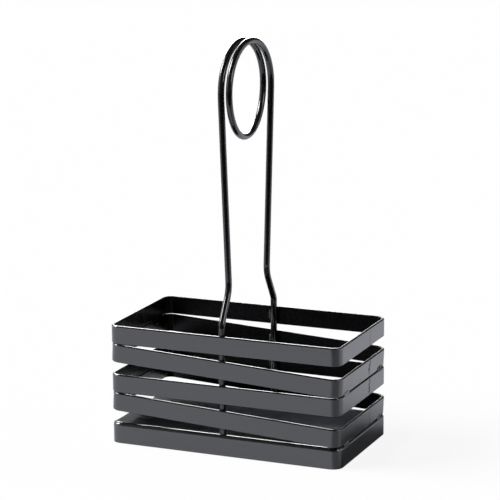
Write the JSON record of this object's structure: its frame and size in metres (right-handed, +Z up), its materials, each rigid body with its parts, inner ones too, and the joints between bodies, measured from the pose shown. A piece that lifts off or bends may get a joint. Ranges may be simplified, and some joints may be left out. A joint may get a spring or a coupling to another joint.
{
  "type": "condiment caddy",
  "caption": "Welded black steel condiment caddy: flat-bar hoops stacked in a zigzag on a pressed base pan, with a wire handle that coils into a finger ring.",
  "frame": {"origin": "middle of the foot, on the surface that the caddy stands on", "axes": "+Z up; +X along the basket towards the short side with the butt welds, where the tilted hoops are low; +Y across the basket"},
  "size_m": [0.2102, 0.1142, 0.3454],
  "materials": {
    "bar_coat": "satin black powder coat on flat bar",
    "pan_coat": "satin black powder coat on pressed sheet",
    "wire_coat": "satin black powder coat on round wire",
    "weld_coat": "satin black powder coat over weld beads"
  },
  "bodies": {
    "root": {"top_band": "bar_coat", "second_band": "bar_coat", "third_band": "bar_coat", "fourth_band": "bar_coat", "base_pan": "pan_coat", "handle_wire": "wire_coat", "top_band_seam_weld": "weld_coat", "second_band_seam_weld": "weld_coat", "third_band_seam_weld": "weld_coat", "fourth_band_seam_weld": "weld_coat", "top_joint_front_tack": "weld_coat", "top_joint_back_tack": "weld_coat", "middle_joint_front_tack": "weld_coat", "middle_joint_back_tack": "weld_coat", "lower_joint_front_tack": "weld_coat", "lower_joint_back_tack": "weld_coat", "base_joint_front_tack": "weld_coat", "base_joint_back_tack": "weld_coat", "front_leg_top_band_weld": "weld_coat", "front_leg_second_band_weld": "weld_coat", "front_leg_third_band_weld": "weld_coat", "front_leg_fourth_band_weld": "weld_coat", "back_leg_top_band_weld": "weld_coat", "back_leg_second_band_weld": "weld_coat", "back_leg_third_band_weld": "weld_coat", "back_leg_fourth_band_weld": "weld_coat", "front_leg_left_foot_weld": "weld_coat", "front_leg_right_foot_weld": "weld_coat", "back_leg_left_foot_weld": "weld_coat", "back_leg_right_foot_weld": "weld_coat"}
  },
  "joints": []
}
